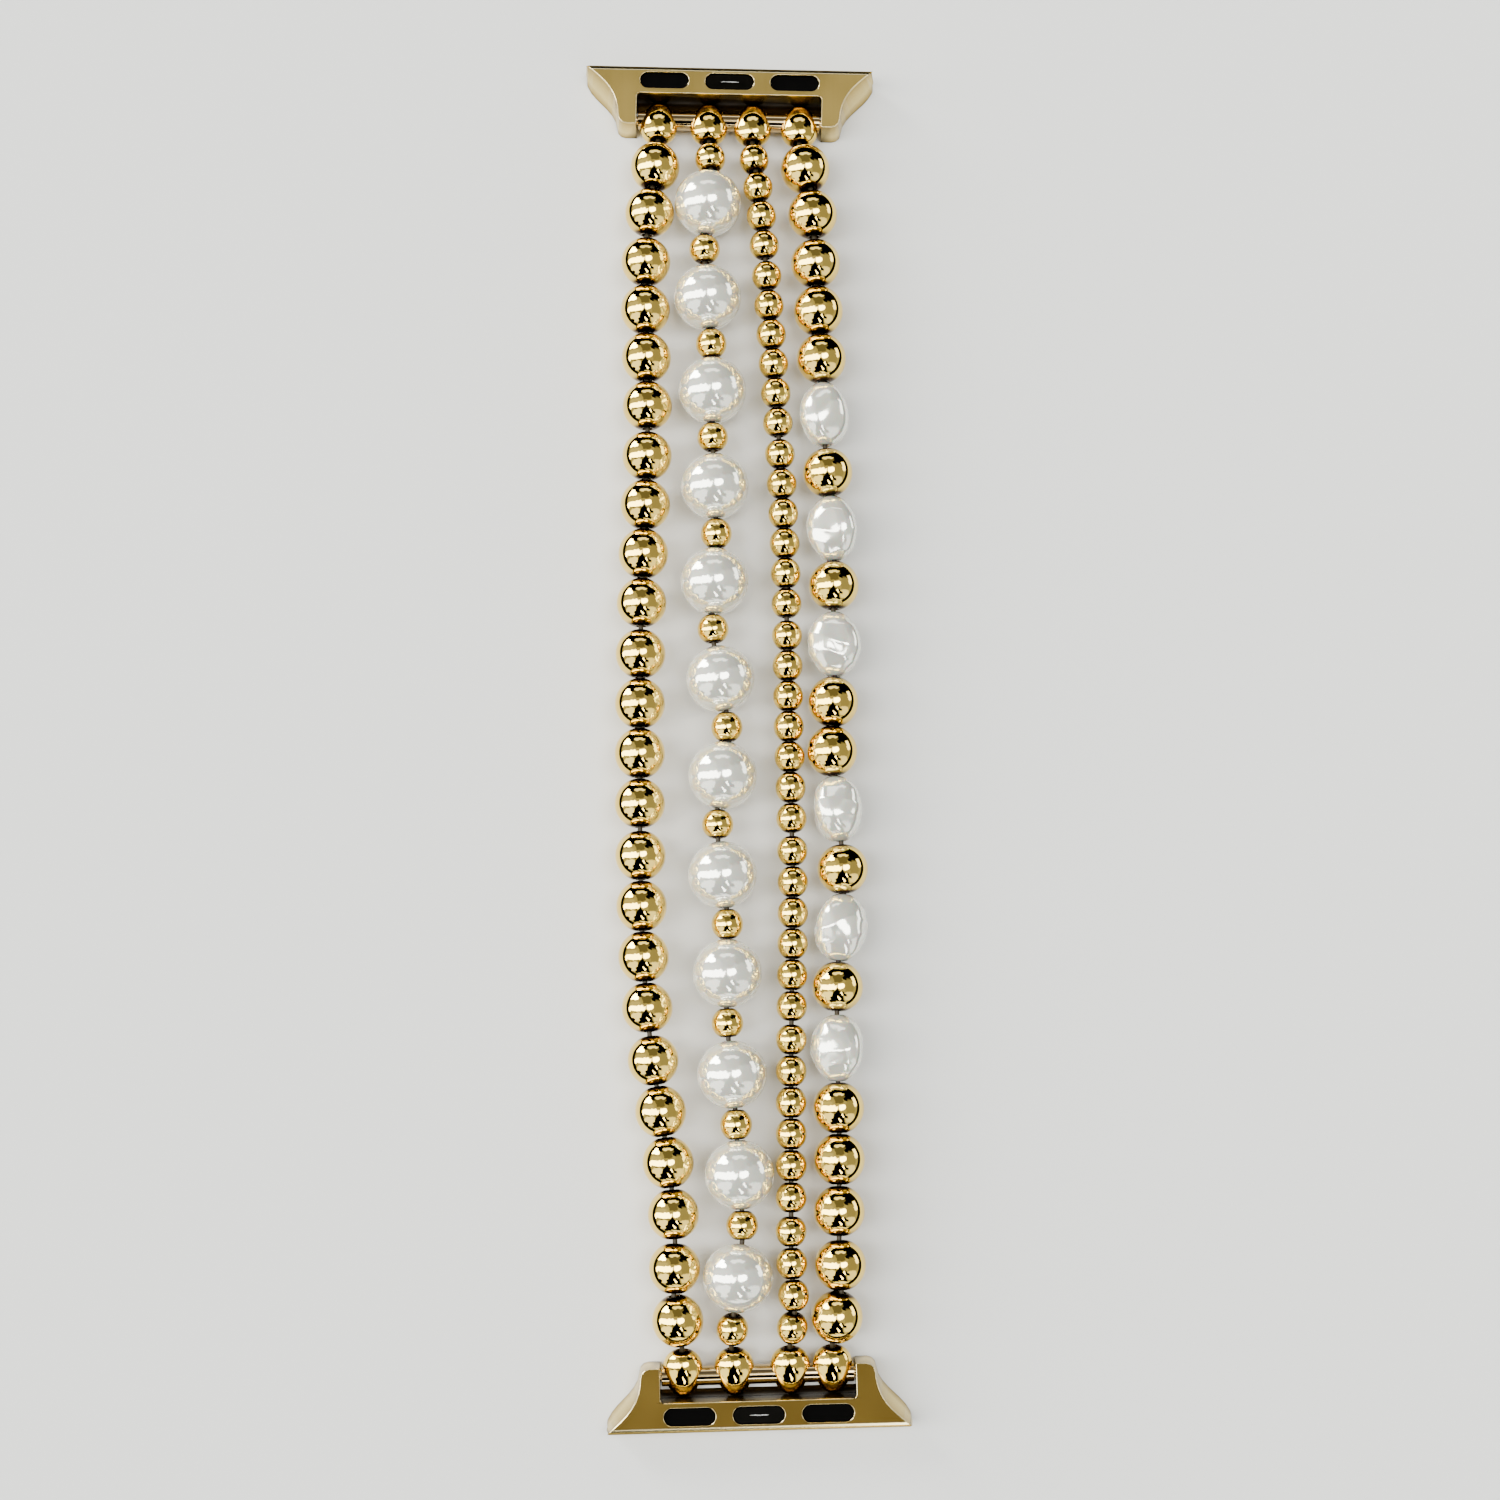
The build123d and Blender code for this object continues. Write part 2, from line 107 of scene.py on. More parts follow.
class Wire:
    # one socket of a node tree; sums, products and powers of wires add their Math nodes
    def __init__(self, tree, socket):
        self.tree, self.socket = tree, socket

    def node(self, kind, settings=None, sockets=None, out=0):
        made = self.tree.nodes.new(kind)
        for name, value in (settings or {}).items():
            if name == "stops":
                setStops(made.color_ramp, value)
            else:
                setattr(made, name, value)
        for name, value in (sockets or {}).items():
            if isinstance(value, Wire):
                self.tree.links.new(value.socket, made.inputs[name])
            else:
                made.inputs[name].default_value = value
        return Wire(self.tree, made.outputs[out] if made.outputs else None)

    def math(self, operation, *values, clamp=False):
        return self.node("ShaderNodeMath", {"operation": operation, "use_clamp": clamp}, dict(enumerate(values)))

    def __add__(self, other): return self.math("ADD", self, other)
    def __sub__(self, other): return self.math("SUBTRACT", self, other)
    def __mul__(self, other): return self.math("MULTIPLY", self, other)
    def __truediv__(self, other): return self.math("DIVIDE", self, other)
    def __pow__(self, other): return self.math("POWER", self, other)
    def __radd__(self, other): return self.math("ADD", other, self)
    def __rsub__(self, other): return self.math("SUBTRACT", other, self)
    def __rmul__(self, other): return self.math("MULTIPLY", other, self)
    def __rtruediv__(self, other): return self.math("DIVIDE", other, self)
    def clamped(self): return self.math("ADD", self, 0, clamp=True)
    def atLeast(self, floor): return self.math("MAXIMUM", self, floor)

    def parts(self):
        # the three parts of a vector or colour
        split = self.node("ShaderNodeSeparateXYZ", {}, {0: self})
        return [Wire(self.tree, out) for out in split.socket.node.outputs]

    def mix(self, first, second):
        # colour first where this wire is 0, second where it is 1
        return self.node("ShaderNodeMix", {"data_type": "RGBA"}, {0: self, 6: first, 7: second}, out=2)


def setStops(ramp, stops):
    while len(ramp.elements) < len(stops):
        ramp.elements.new(1)
    for element, (place, colour) in zip(ramp.elements, stops):
        element.position, element.color = place, (*colour, 1)


def rgb(red, green, blue):
    return (red, green, blue, 1)


def newMaterial(name):
    material = bpy.data.materials.new(name)
    material.use_nodes = True
    shader = material.node_tree.nodes["Principled BSDF"]
    return material, shader, Wire(material.node_tree, shader.outputs[0])


def join(shader, name, wire):
    wire.tree.links.new(wire.socket, shader.inputs[name])


def bump(wire, height, distance, strength):
    return wire.node("ShaderNodeBump", {}, {"Height": height, "Distance": distance, "Strength": strength})


# Light: a room seen as it looks in a polished ball from above. x and y run over the ball from -1 to 1,
# and the horizon is at 0.707 from its middle.

studio = {
    "room": 0.62,                # brightness of the plain ceiling
    "backdrop": 1.9,             # what the camera itself sees above the table's edge
    "waver": 0.16, "waverScale": 4.5,      # how far the patches' edges wander, and how finely
    "horizon": 60,               # how sharply the room ends at the table's level
    # middle x, middle y, half width, half height, taper to the top, turn in degrees, softness, brightness
    "patches": (
        (0.00, 0.62, 0.62, 0.24, 0.0, 0, 0.10, 0.0008),      # the black arc above, thicker on its right
        (0.36, 0.44, 0.24, 0.22, -0.5, 0, 0.10, 0.0008),
        (-0.44, 0.12, 0.22, 0.10, 0.0, 0, 0.5, 0.9),
        (0.00, 0.34, 0.20, 0.20, -0.25, 0, 0.12, 0.20),      # the olive square with its pale top
        (0.00, 0.50, 0.20, 0.04, 0.0, 0, 0.4, 2.5),
        (-0.47, 0.42, 0.11, 0.12, 0.6, 0, 0.25, 26.0),       # the bright corner at the left
        (-0.38, -0.03, 0.33, 0.10, 0.0, 0, 0.25, 13.0),      # the long bright band and its round end
        (0.13, 0.00, 0.13, 0.10, -0.1, 0, 0.3, 15.0),
        (-0.32, -0.18, 0.22, 0.016, 0.0, 0, 0.8, 0.05),
        (-0.38, -0.38, 0.26, 0.17, 0.1, 0, 0.4, 2.6),        # the pale side at the lower left
        (-0.70, -0.20, 0.05, 0.15, 0.0, 12, 0.3, 0.0008),
        (-0.55, -0.45, 0.08, 0.055, 0.0, -35, 0.3, 0.0008),
        (0.46, 0.02, 0.17, 0.26, 0.0, 0, 0.5, 0.45),         # the tan side on the right
        (0.62, 0.22, 0.07, 0.18, 0.0, 20, 0.5, 5.0),
        (0.44, -0.38, 0.17, 0.17, 0.0, 0, 0.5, 2.0),
        (-0.03, -0.37, 0.21, 0.28, 0.75, 0, 0.12, 0.0008),   # the black flame below, with two bright gaps
        (0.24, -0.31, 0.14, 0.06, 0.0, -28, 0.3, 0.0008),
        (0.15, -0.30, 0.028, 0.065, 0.0, 35, 0.5, 10.0),
        (0.04, -0.46, 0.028, 0.075, 0.0, 30, 0.5, 10.0),
        (0.10, -0.65, 0.36, 0.05, 0.0, 0, 0.5, 2.5),
    ),
    "tint": (0.99, 1.0, 0.97),
}


def makeWorld():
    world = bpy.data.worlds.new("studio")
    scene.world = world
    world.use_nodes = True
    tree = world.node_tree
    tree.nodes.clear()
    start = Wire(tree, None)
    direction = start.node("ShaderNodeTexCoord", out="Generated")
    x, y, z = direction.parts()
    # place on the ball: direction across, over the root of 2 (1 + up)
    spread = ((z + 1) * 2).atLeast(0.02) ** 0.5
    # the places wander a little, so that no patch has straight edges
    cloud = direction.node("ShaderNodeTexNoise", {}, out="Color", sockets={
        "Vector": direction, "Scale": studio["waverScale"], "Detail": 3.0})
    wanderX, wanderY, _ = cloud.parts()
    u = x / spread + (wanderX - 0.5) * studio["waver"]
    v = y / spread + (wanderY - 0.5) * studio["waver"]
    ball = u.node("ShaderNodeCombineXYZ", {}, {0: u, 1: v})
    light = z * 0 + studio["room"]
    for cx, cy, wide, tall, taper, turn, soft, bright in studio["patches"]:
        # a rounded box, 1 where (across / narrowing)^4 + up^4 is under 1, soft at its edge
        local = ball.node("ShaderNodeMapping", {"vector_type": "TEXTURE"},
                          {"Vector": ball, "Location": (cx, cy, 0), "Rotation": (0, 0, math.radians(turn)),
                           "Scale": (wide, tall, 1)})
        across, up, _ = local.parts()
        narrow = (1 - up * taper).atLeast(0.05)
        square, upSquare = (across / narrow) * (across / narrow), up * up
        inside = 1 - (square * square + upSquare * upSquare)
        mask = inside.math("MULTIPLY_ADD", inside, 0.5 / soft, 0.5, clamp=True)
        light = light + mask * (bright - light)
    light = light * (z * studio["horizon"] + 0.5).clamped()
    seen = start.node("ShaderNodeLightPath", out="Is Camera Ray")
    light = light * (1 - seen) + seen * studio["backdrop"]
    colour = light.node("ShaderNodeCombineXYZ", {}, {i: light * share for i, share in enumerate(studio["tint"])})
    back = colour.node("ShaderNodeBackground", {}, {0: colour})
    back.node("ShaderNodeOutputWorld", {}, {0: back})


makeWorld()

table = {
    "half": 1.5, "colour": (0.615, 0.615, 0.603), "mottle": 0.010, "mottleScale": 14.0, "roughness": 0.5,
    # a reflection that meets the sheet this far off, in metres, and this flat finds its dark border: a painted
    # dark reflection
    "border": 0.0150, "edge": 0.0015, "flatness": 0.66, "flatEdge": 0.05, "dark": (0.001, 0.001, 0.0008),
}


def makeTable():
    # two whites clouded by noise, with a painted dark reflection: a dark border that only reflections see
    half = table["half"]
    mesh = bpy.data.meshes.new("table")
    corners = [(-half, -half, 0), (half, -half, 0), (half, half, 0), (-half, half, 0)]
    mesh.from_pydata(corners, [], [(0, 1, 2, 3)])
    floor = placed("table", mesh)
    material, shader, start = newMaterial("tableTop")
    place = start.node("ShaderNodeTexCoord", out="Object")
    cloud = start.node("ShaderNodeTexNoise", {}, {"Vector": place, "Scale": table["mottleScale"], "Detail": 3.0})
    light = tuple(c + table["mottle"] for c in table["colour"])
    dim = tuple(c - table["mottle"] for c in table["colour"])
    length = start.node("ShaderNodeLightPath", out="Ray Length")
    flat = start.node("ShaderNodeLayerWeight", {}, {"Blend": 0.5}, out="Facing")
    # painted dark reflection: glossy rays that meet the sheet far off and flat find it dark
    far = ((length - table["border"]) / table["edge"]).clamped()
    grazing = ((flat - table["flatness"]) / table["flatEdge"]).clamped()
    border = far * grazing * start.node("ShaderNodeLightPath", out="Is Glossy Ray")
    join(shader, "Base Color", border.mix(cloud.mix(rgb(*dim), rgb(*light)), rgb(*table["dark"])))
    shader.inputs["Roughness"].default_value = table["roughness"]
    shader.inputs["Specular IOR Level"].default_value = 0
    mesh.materials.append(material)


makeTable()
print("light and table made")


# Materials

goldFinish = {
    "deep": (0.86, 0.56, 0.09), "pale": (0.98, 0.73, 0.18),
    # painted shade round the holes, where the beads meet
    "neck": (0.05, 0.022, 0.004),         # tone of the shaded surface round the holes
    "cloudScale": 260.0, "roughness": 0.012, "roughnessSpread": 0.02,
    "rippleScale": 900.0, "rippleDepth": 0.000008, "rippleStrength": 0.35,
}


def goldMaterial(name, finish):
    # plated gold: two tones clouded by noise, with painted shade round the holes where the attribute says so,
    # where the beads meet, with roughness and a faint ripple from finer noise
    material, shader, start = newMaterial(name)
    place = start.node("ShaderNodeTexCoord", out="Object")
    neck = start.node("ShaderNodeAttribute", {"attribute_name": "neck"}, out="Fac")
    cloud = start.node("ShaderNodeTexNoise", {}, {"Vector": place, "Scale": finish["cloudScale"], "Detail": 4.0})
    fine = start.node("ShaderNodeTexNoise", {}, {"Vector": place, "Scale": finish["rippleScale"], "Detail": 2.0})
    plate = cloud.mix(rgb(*finish["deep"]), rgb(*finish["pale"]))
    # painted shade round the holes, where the beads meet
    join(shader, "Base Color", (neck * 2).clamped().mix(plate, rgb(*finish["neck"])))
    join(shader, "Roughness", finish["roughness"] + fine * finish["roughnessSpread"])
    join(shader, "Normal", bump(start, fine, finish["rippleDepth"], finish["rippleStrength"]))
    shader.inputs["Metallic"].default_value = 1
    return material


pearlFinish = {
    "cool": (0.74, 0.745, 0.69), "warm": (0.85, 0.83, 0.69),
    "cloudScale": 320.0, "roughness": 0.05, "roughnessSpread": 0.08, "metal": 0.60,
    "coat": 1.0, "coatRoughness": 0.015, "coatIOR": 1.6, "subsurface": 0.15, "subsurfaceScale": 0.001,
}
nuggetFinish = {**pearlFinish, "cloudScale": 500.0, "subsurface": 0.3, "metal": 0.62, "roughness": 0.09}


def pearlMaterial(name, finish):
    # pearl: near-white nacre under a clear coat, cool and warm tones clouded by noise
    material, shader, start = newMaterial(name)
    place = start.node("ShaderNodeTexCoord", out="Object")
    cloud = start.node("ShaderNodeTexNoise", {}, {"Vector": place, "Scale": finish["cloudScale"], "Detail": 3.0})
    join(shader, "Base Color", cloud.mix(rgb(*finish["cool"]), rgb(*finish["warm"])))
    join(shader, "Roughness", finish["roughness"] + cloud * finish["roughnessSpread"])
    shader.inputs["Metallic"].default_value = finish["metal"]
    shader.inputs["Coat Weight"].default_value = finish["coat"]
    shader.inputs["Coat Roughness"].default_value = finish["coatRoughness"]
    shader.inputs["Coat IOR"].default_value = finish["coatIOR"]
    shader.inputs["Subsurface Weight"].default_value = finish["subsurface"]
    shader.inputs["Subsurface Scale"].default_value = finish["subsurfaceScale"]
    return material


adapterFinish = {
    # face tones of each adapter; the bottom adapter's are painted darker, a painted shade on a copy of the same
    # plating
    "face": {"top": ((0.125, 0.087, 0.022), (0.225, 0.162, 0.048)),
             "bottom": ((0.052, 0.032, 0.006), (0.078, 0.050, 0.0105))},
    "cloudScale": 130.0,                  # slow changes of the face's tone
    "streakScale": (2600.0, 40.0, 2600.0), "roughness": 0.50, "roughnessSpread": 0.12,
    "streakDepth": 0.000004, "streakStrength": 0.10, "streakShare": 0.4, "sideStreak": 0.08,
    "polish": 0.24,                       # roughness of the sides
    # a pale tone on the face's rounded rim, a painted highlight
    "edgeHighlight": (0.86, 0.72, 0.40), "edgeRoughness": 0.20, "railRoughness": 0.03,
    # painted shade in the recess behind the bar
    "recess": (0.030, 0.017, 0.004),      # tone of the shaded recess behind the bar
    # millimetres: where the satin face and the painted highlight of the pale edge start, and how fast they come
    # in
    "faceHeight": 3.285, "faceBlend": 0.01, "edgeHeight": 3.17, "edgeBlend": 0.02,
    # tones of the sides from the table up to the face's height, painted light and shade: darkest at the table as
    # painted shade, palest about a third up as a painted highlight
    "sides": ((0.0, (0.10, 0.06, 0.02)), (0.07, (0.40, 0.29, 0.09)), (0.35, (0.72, 0.57, 0.24)),
              (0.65, (0.60, 0.46, 0.17)), (0.92, (0.42, 0.30, 0.09))),
}


def adapterMaterial(name, finish, end):
    # satin face: two tones, slow noise doubled + stretched noise times the streak's share, painted darker on the
    # bottom adapter as painted shade;
    # pale edge as a painted highlight, polished where the attribute says that the rail is; smooth sides whose
    # tone runs with their height as painted light and shade; painted shade where the attribute says that the
    # recess is
    material, shader, start = newMaterial(name)
    place = start.node("ShaderNodeTexCoord", out="Object")
    height = place.parts()[2] / mm
    face = ((height - finish["faceHeight"]) / finish["faceBlend"]).clamped()
    edge = ((height - finish["edgeHeight"]) / finish["edgeBlend"]).clamped() - face
    inside = start.node("ShaderNodeAttribute", {"attribute_name": "recess"}, out="Fac")
    rail = start.node("ShaderNodeAttribute", {"attribute_name": "rail"}, out="Fac")
    drawn = start.node("ShaderNodeMapping", {}, {"Vector": place, "Scale": finish["streakScale"]})
    streak = start.node("ShaderNodeTexNoise", {}, {"Vector": drawn, "Scale": 1.0, "Detail": 4.0})
    cloud = start.node("ShaderNodeTexNoise", {}, {"Vector": place, "Scale": finish["cloudScale"], "Detail": 1.0})
    tone = ((cloud - 0.5) * 2 + (streak - 0.5) * finish["streakShare"] + 0.5).clamped()
    # painted light and shade on the sides, by height
    level = height / finish["faceHeight"] + (streak - 0.5) * finish["sideStreak"]
    side = level.node("ShaderNodeValToRGB", {"stops": finish["sides"]}, {0: level})
    deep, pale = finish["face"][end]
    # the pale edge is a painted highlight
    plate = edge.mix(face.mix(side, tone.mix(rgb(*deep), rgb(*pale))), rgb(*finish["edgeHighlight"]))
    # painted shade in the recess behind the bar
    join(shader, "Base Color", inside.mix(plate, rgb(*finish["recess"])))
    sharpest = finish["edgeRoughness"] + rail * (finish["railRoughness"] - finish["edgeRoughness"])
    join(shader, "Roughness", finish["polish"] + edge * (sharpest - finish["polish"])
         + face * (finish["roughness"] - finish["polish"] + streak * finish["roughnessSpread"]))
    join(shader, "Normal", bump(start, streak * face, finish["streakDepth"], finish["streakStrength"]))
    shader.inputs["Metallic"].default_value = 1
    return material


barFinish = {
    "deep": (0.50, 0.35, 0.16), "pale": (0.66, 0.49, 0.25),
    "streakScale": (40.0, 2600.0, 2600.0), "roughness": 0.05, "roughnessSpread": 0.05,
    "streakDepth": 0.000004, "streakStrength": 0.08,
}


def brushedMaterial(name, finish):
    # drawn metal: noise stretched along the bar gives streaks of tone, roughness and height
    material, shader, start = newMaterial(name)
    place = start.node("ShaderNodeTexCoord", out="Object")
    drawn = start.node("ShaderNodeMapping", {}, {"Vector": place, "Scale": finish["streakScale"]})
    streak = start.node("ShaderNodeTexNoise", {}, {"Vector": drawn, "Scale": 1.0, "Detail": 4.0})
    join(shader, "Base Color", streak.mix(rgb(*finish["deep"]), rgb(*finish["pale"])))
    join(shader, "Roughness", finish["roughness"] + streak * finish["roughnessSpread"])
    join(shader, "Normal", bump(start, streak, finish["streakDepth"], finish["streakStrength"]))
    shader.inputs["Metallic"].default_value = 1
    return material


plainFinishes = {
    "rubberPad": {"dark": (0.0006, 0.0006, 0.0006), "light": (0.0016, 0.0015, 0.0014), "scale": 1500.0,
                  "roughness": 0.5, "spread": 0.2, "metal": 0.0, "specular": 0.01},
    "latchBlack": {"dark": (0.001, 0.001, 0.0008), "light": (0.003, 0.0026, 0.002), "scale": 1200.0,
                   "roughness": 0.2, "spread": 0.1, "metal": 0.0, "specular": 0.006},
    "springSteel": {"dark": (0.42, 0.42, 0.43), "light": (0.62, 0.62, 0.62), "scale": 800.0,
                    "roughness": 0.2, "spread": 0.15, "metal": 1.0, "specular": 0.5},
    "elasticCord": {"dark": (0.020, 0.014, 0.006), "light": (0.045, 0.032, 0.015), "scale": 2400.0,
                    "roughness": 0.3, "spread": 0.2, "metal": 0.0, "specular": 0.2},
}


def cloudedMaterial(name, finish):
    # two tones and a varying roughness clouded by the same noise
    material, shader, start = newMaterial(name)
    place = start.node("ShaderNodeTexCoord", out="Object")
    cloud = start.node("ShaderNodeTexNoise", {}, {"Vector": place, "Scale": finish["scale"], "Detail": 3.0})
    join(shader, "Base Color", cloud.mix(rgb(*finish["dark"]), rgb(*finish["light"])))
    join(shader, "Roughness", finish["roughness"] + cloud * finish["spread"])
    shader.inputs["Metallic"].default_value = finish["metal"]
    shader.inputs["Specular IOR Level"].default_value = finish["specular"]
    return material


materials = {
    "goldBead": goldMaterial("goldBead", goldFinish),
    "pearl": pearlMaterial("pearl", pearlFinish),
    "nuggetPearl": pearlMaterial("nuggetPearl", nuggetFinish),
    # one plating in two copies: the bottom adapter's face painted darker as painted shade
    "adapterGoldTop": adapterMaterial("adapterGoldTop", adapterFinish, "top"),
    "adapterGoldBottom": adapterMaterial("adapterGoldBottom", adapterFinish, "bottom"),
    "barGold": brushedMaterial("barGold", barFinish),
}
for name, finish in plainFinishes.items():
    materials[name] = cloudedMaterial(name, finish)
print("materials made:", len(materials))


# Reading the CAD pieces

sections = range(1, 8)       # of the band, from the top
weldDistance = 2e-6


def weldedShape(nodeName):
    # an editable copy of a CAD piece whose doubled corners are joined
    shape = bmesh.new()
    shape.from_mesh(frame["nodes"][nodeName].data)
    bmesh.ops.remove_doubles(shape, verts=shape.verts, dist=weldDistance)
    return shape


def meshFrom(shape, name):
    mesh = bpy.data.meshes.new(name)
    shape.to_mesh(mesh)
    shape.free()
    return mesh


def meshPoints(mesh):
    points = np.empty(len(mesh.vertices) * 3)
    mesh.vertices.foreach_get("co", points)
    return points.reshape(-1, 3)


def looseParts(nodeName):
    # welded corner points of each separate solid of a node, lowest y last
    shape = weldedShape(nodeName)
    bmesh.ops.triangulate(shape, faces=shape.faces)
    welded = meshFrom(shape, "welded")
    points = meshPoints(welded)
    corners = np.empty(len(welded.polygons) * 3, int)
    welded.polygons.foreach_get("vertices", corners)
    corners = corners.reshape(-1, 3)
    bpy.data.meshes.remove(welded)
    # each triangle hands its lowest label to its corners until nothing changes
    label = np.arange(len(points))
    while True:
        spread = label.copy()
        np.minimum.at(spread, corners.ravel(), np.repeat(label[corners].min(axis=1), 3))
        if np.array_equal(spread, label):
            break
        label = spread
    parts = [points[label == name] for name in np.unique(label)]
    return sorted(parts, key=lambda part: -part[:, 1].mean())


def beadPlace(points):
    # centre, frame (across, along the hole, up), length, width and hole's radius of a drilled bead
    centre = points.mean(axis=0)
    spread = points - centre
    _, vectors = np.linalg.eigh(spread.T @ spread)
    along = vectors[:, 2] * np.sign(vectors[1, 2])
    across = np.cross(along, (0, 0, 1))
    across /= np.linalg.norm(across)
    up = np.cross(across, along)
    runs = spread @ along
    radii = np.linalg.norm(spread - np.outer(runs, along), axis=1)
    return centre, np.array((across, along, up)), np.ptp(runs), 2 * radii.max(), radii.min()


# Every bead's place

beadKinds = ("large_gold_beads", "small_gold_beads", "gold_spacers", "round_pearls", "nugget_pearls")
beadPlaces = {name: [beadPlace(part) for part in looseParts(name)]
              for name in frame["nodes"] if name.startswith(beadKinds)}
# millimetres that a bead's end draws back where it faces a bend, and how near the next bead in a section is
bend = {"room": 0.10, "nextBead": 1.0}


def facesBend(nodeName, place, way):
    # whether the band bends at the bead's end on this side: no bead of its own section follows there
    section = int(nodeName.rsplit("_", 1)[1])
    if (section, way) in ((sections[0], 1), (sections[-1], -1)):
        return False
    others = [other for name, found in beadPlaces.items() if name.endswith(f"_{section}") for other in found]
    starts = np.array([centre - way * axes[1] * length / 2 for centre, axes, length, _, _ in others])
    centre, axes, length = place[:3]
    gaps = np.linalg.norm(starts - (centre + way * axes[1] * length / 2), axis=1)
    return gaps.min() > bend["nextBead"] * mm


# Making surfaces

def gridFaces(rows, columns, closedRows):
    # quads of a grid whose columns wrap round, and whose rows do too where closedRows is set
    row = np.arange(rows if closedRows else rows - 1)[:, None]
    column = np.arange(columns)[None, :]
    nextRow, nextColumn = (row + 1) % rows, (column + 1) % columns
    quads = np.stack([row * columns + column, nextRow * columns + column,
                      nextRow * columns + nextColumn, row * columns + nextColumn], axis=-1)
    return quads.reshape(-1, 4)


def meshObject(name, points, faces, material):
    # one smooth mesh from an array of points and the corners of each face
    mesh = bpy.data.meshes.new(name)
    mesh.from_pydata(points.tolist(), [], faces)
    mesh.materials.append(material)
    made = placed(name, mesh)
    shape = bmesh.new()
    shape.from_mesh(mesh)
    bmesh.ops.recalc_face_normals(shape, faces=shape.faces)
    shape.to_mesh(mesh)
    shape.free()
    mesh.polygons.foreach_set("use_smooth", np.ones(len(mesh.polygons), bool))
    mesh.update()
    return made


def setMark(mesh, name, values):
    mesh.attributes.new(name, "FLOAT", "POINT").data.foreach_set("value", values.astype(np.float32))


def smoothCopy(shape, name, materialName, sharpAngle):
    # an edited copy as an object, smooth but for edges sharper than the angle, in degrees
    mesh = meshFrom(shape, name)
    mesh.polygons.foreach_set("use_smooth", np.ones(len(mesh.polygons), bool))
    mesh.set_sharp_from_angle(angle=math.radians(sharpAngle))
    mesh.materials.clear()
    mesh.materials.append(materials[materialName])
    return placed(name, mesh)


def finishPiece(made, nodeName):
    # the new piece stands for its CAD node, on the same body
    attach(made, frame["nodes"][nodeName]["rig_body"])
    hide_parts(nodeName)


# Beads

lipSteps = 5


def beadProfile(width, length, hole, rim, lip, steps):
    # closed line of (along, radius): an ellipse from rim to rim, a flat end in to the lip, a rounded lip,
    # then back through the hole
    lean = math.asin(2 * rim / width)
    pole = length / 2 / math.cos(lean)
    turn = np.linspace(lean, math.pi - lean, steps)
    outer = np.stack([-pole * np.cos(turn), width / 2 * np.sin(turn)], axis=1)
    start, corner = np.array((length / 2, hole + lip)), np.array((length / 2, hole))
    wall = np.array((length / 2 - lip, hole))
    t = np.linspace(0, 1, lipSteps)[:, None]
    lipLine = (1 - t) ** 2 * start + 2 * t * (1 - t) * corner + t ** 2 * wall
    return np.concatenate([outer, lipLine, (lipLine * (-1, 1))[::-1]])


def turnProfile(profile, sides, swell=None):
    # the profile carried round the hole's axis: (r cos turn, along, r sin turn), r swelled where asked
    turn = np.linspace(0, 2 * math.pi, sides, endpoint=False)[None, :]
    along, radius = profile[:, :1], profile[:, 1:]
    r = radius * (swell(along, radius, turn) if swell else 1)
    return np.stack([r * np.cos(turn), along + 0 * turn, r * np.sin(turn)], axis=-1).reshape(-1, 3)


def beadPiece(name, nodeName, style, material, swells=None):
    # every bead of one node as one mesh, each on its CAD bead's centre and axis
    points, quads, neckShades, count = [], [], [], 0
    for number, place in enumerate(beadPlaces[nodeName]):
        centre, axes, length, width, hole = place
        profile = beadProfile(style.get("width", width / mm) * mm, length, hole, style["rim"] * mm,
                              style["lip"] * mm, style["steps"])
        for way in (1, -1):
            if facesBend(nodeName, place, way):
                profile[:, 0] *= np.where(profile[:, 0] * way > 0, 1 - bend["room"] * mm / (length / 2), 1)
        bead = turnProfile(profile, style["sides"], swells[number] if swells else None)
        points.append(centre + bead @ axes)
        quads.append(gridFaces(len(profile), style["sides"], True) + count)
        # painted shade: 1 at the rim of the hole, fading to 0 at the shade's edge
        near = np.clip((style["neck"] - profile[:, 1] / mm) / (style["neck"] - style["rim"]), 0, 1)
        neckShades.append(np.repeat(near, style["sides"]))
        count += len(bead)
    made = meshObject(name, np.concatenate(points), np.concatenate(quads).tolist(), material)
    setMark(made.data, "neck", np.concatenate(neckShades))
    finishPiece(made, nodeName)


beadStyles = {
    # rim: radius where the round surface turns into the flat end; then the radius where the painted shade round
    # the hole ends
    "large_gold_beads": {"rim": 0.78, "neck": 1.55, "lip": 0.12, "steps": 25, "sides": 40,
                         "material": "goldBead", "slot": "gold_bead"},
    "small_gold_beads": {"rim": 0.62, "neck": 1.15, "lip": 0.08, "steps": 19, "sides": 32,
                         "material": "goldBead", "slot": "gold_bead"},
    "gold_spacers": {"rim": 0.72, "neck": 1.10, "lip": 0.10, "steps": 19, "sides": 32,
                     "material": "goldBead", "slot": "gold_bead"},
    "round_pearls": {"rim": 0.80, "neck": 1.10, "lip": 0.12, "steps": 33, "sides": 56,
                     "material": "pearl", "slot": "pearl"},
}
for kind, style in beadStyles.items():
    for section in sections:
        beadPiece(f"smooth_{kind}_{section}", f"{kind}_{section}", style, materials[style["material"]])
print("round beads strung")

